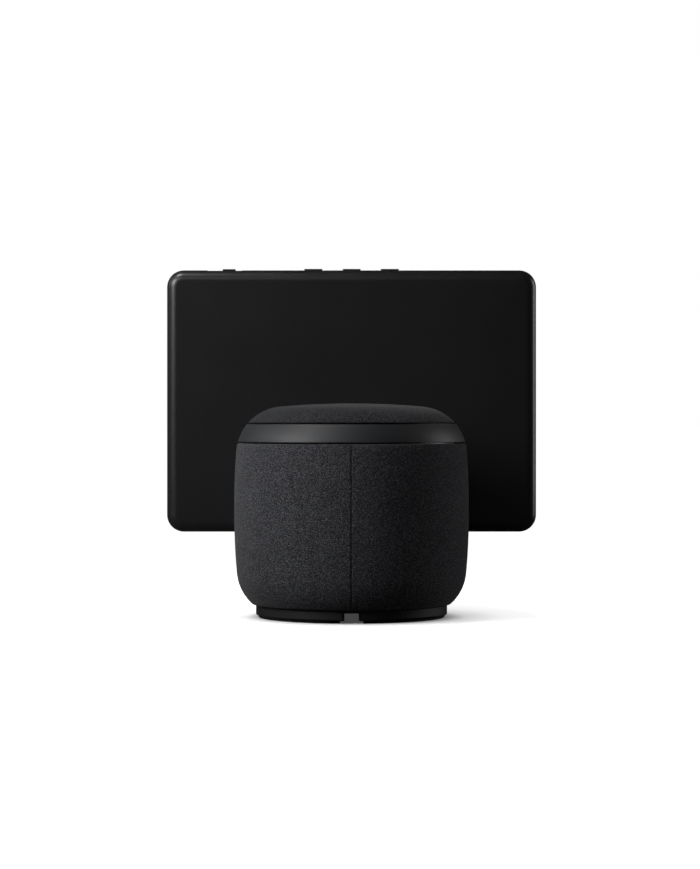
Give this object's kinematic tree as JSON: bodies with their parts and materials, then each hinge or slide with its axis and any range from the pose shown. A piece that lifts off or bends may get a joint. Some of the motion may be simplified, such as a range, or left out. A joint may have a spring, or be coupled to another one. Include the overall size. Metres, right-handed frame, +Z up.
{
  "type": "smart display",
  "caption": "Wide touch screen tilting on a neck that a motor turns round the top of a fabric-covered cylindrical speaker on a low round foot.",
  "frame": {"origin": "on the axis the top turns about, at the plane of the rubber foot", "axes": "+Z up the turning axis, +Y towards the cable slot at the back, so the screen's glass faces -Y; +X towards the camera's side of the screen"},
  "size_m": [0.251, 0.1721, 0.2298],
  "materials": {
    "foot_rubber": "matte black",
    "foot_plastic": "satin black",
    "zinc_screws": "zinc plated",
    "socket_plastic": "moulded",
    "contact_metal": "plated",
    "circuit_board": "solder mask",
    "box_plastic": "moulded",
    "driver_frame": "black paint",
    "driver_motor": "dark plated",
    "driver_cone": "fine grain",
    "driver_rubber": "matte",
    "grille_plastic": "moulded",
    "body_fabric": "knitted, charcoal with paler flecks",
    "cap_fabric": "knitted, charcoal with paler flecks",
    "cast_alloy": "die cast",
    "bearing_steel": "ground",
    "cage_brass": "turned",
    "motor_core": "laminated core",
    "gear_plastic": "moulded, natural",
    "cable_jacket": "sheathed",
    "band_plastic": "satin charcoal",
    "arm_alloy": "powder coat",
    "screen_shell": "fine satin, near black",
    "frame_plastic": "satin black",
    "front_glass": "polished",
    "display_panel": "dark, switched off",
    "light_guide": "clear sheets",
    "chassis_alloy": "stamped",
    "hinge_steel": "black oxide",
    "washer_plastic": "moulded",
    "shield_metal": "tin plated",
    "camera_plastic": "moulded",
    "lens_glass": "coated",
    "shutter_plastic": "satin",
    "button_plastic": "satin"
  },
  "bodies": {
    "base": {"foot_pad": "foot_rubber", "base_pan": "foot_plastic", "pan_screws": "zinc_screws", "power_socket": "socket_plastic", "socket_pin": "contact_metal", "power_board": "circuit_board", "speaker_enclosure": "box_plastic", "woofer_frame": "driver_frame", "woofer_motor": "driver_motor", "woofer_surround": "driver_rubber", "tweeters": "driver_frame", "grille_shell": "grille_plastic", "fabric_sleeve": "body_fabric", "trim_ring": "grille_plastic", "chassis_deck": "box_plastic", "deck_screws": "zinc_screws", "bearing_hub": "cast_alloy", "inner_race": "bearing_steel", "bearing_retainer": "cast_alloy", "hub_screws": "zinc_screws", "motor_stator": "motor_core", "main_board": "circuit_board", "body_cable": "cable_jacket"},
    "woofer_cone": {"woofer_cone": "driver_cone"},
    "drive_rotor": {"motor_rotor": "bearing_steel", "drive_pinion": "cage_brass"},
    "ball_cage": {"ball_cage": "cage_brass", "bearing_balls": "bearing_steel"},
    "turret": {"outer_race": "bearing_steel", "ring_gear": "gear_plastic", "turntable": "cast_alloy", "race_clamp": "cast_alloy", "clamp_screws": "zinc_screws", "swivel_band": "band_plastic", "band_screws": "zinc_screws", "cap_shell": "grille_plastic", "cap_fabric": "cap_fabric", "swivel_arm": "arm_alloy", "arm_screws": "zinc_screws", "arm_cable": "cable_jacket"},
    "screen": {"back_cover": "screen_shell", "front_frame": "frame_plastic", "cover_glass": "front_glass", "lcd_panel": "display_panel", "backlight_unit": "light_guide", "chassis_plate": "chassis_alloy", "hinge_bracket": "hinge_steel", "bracket_screws": "zinc_screws", "hinge_shaft": "hinge_steel", "friction_washers": "washer_plastic", "logic_board": "circuit_board", "shield_cans": "shield_metal", "camera_module": "camera_plastic", "camera_lens": "lens_glass", "rear_microphone": "socket_plastic", "button_board": "circuit_board"},
    "camera_shutter": {"shutter_slider": "shutter_plastic"},
    "mic_off": {"mic_off_button": "button_plastic"},
    "volume_down": {"volume_down_button": "button_plastic"},
    "volume_up": {"volume_up_button": "button_plastic"}
  },
  "joints": [
    {"name": "turret_yaw", "type": "hinge", "parent": "base", "child": "turret", "pos_m": [0, 0, 0.103], "axis": [0, 0, 1], "range_deg": [-175, 175]},
    {"name": "pinion_spin", "type": "hinge", "parent": "base", "child": "drive_rotor", "pos_m": [0.04875, 0, 0.103], "axis": [0, 0, 1], "range_deg": [-702, 702]},
    {"name": "ball_cage_spin", "type": "hinge", "parent": "base", "child": "ball_cage", "pos_m": [0, 0, 0.103], "axis": [0, 0, 1], "range_deg": [-95, 95]},
    {"name": "screen_tilt", "type": "hinge", "parent": "turret", "child": "screen", "pos_m": [0, -0.0771, 0.11865], "axis": [-1, 0, 0], "range_deg": [-5, 40]},
    {"name": "woofer_cone_travel", "type": "slide", "parent": "base", "child": "woofer_cone", "axis": [0, -1, 0], "range_m": [-0.0025, 0.0025], "stiffness_N_per_m": 1500},
    {"name": "camera_shutter_slide", "type": "slide", "parent": "screen", "child": "camera_shutter", "axis": [1, 0, 0], "range_m": [0, 0.009]},
    {"name": "mic_off_press", "type": "slide", "parent": "screen", "child": "mic_off", "axis": [0, 0, -1], "range_m": [0, 0.0008], "stiffness_N_per_m": 1500, "springref_m": -0.0004},
    {"name": "volume_down_press", "type": "slide", "parent": "screen", "child": "volume_down", "axis": [0, 0, -1], "range_m": [0, 0.0008], "stiffness_N_per_m": 1500, "springref_m": -0.0004},
    {"name": "volume_up_press", "type": "slide", "parent": "screen", "child": "volume_up", "axis": [0, 0, -1], "range_m": [0, 0.0008], "stiffness_N_per_m": 1500, "springref_m": -0.0004}
  ],
  "couplings": [
    {"joint": "pinion_spin", "follows": "turret_yaw", "ratio": -4},
    {"joint": "ball_cage_spin", "follows": "turret_yaw", "ratio": 0.53846}
  ]
}
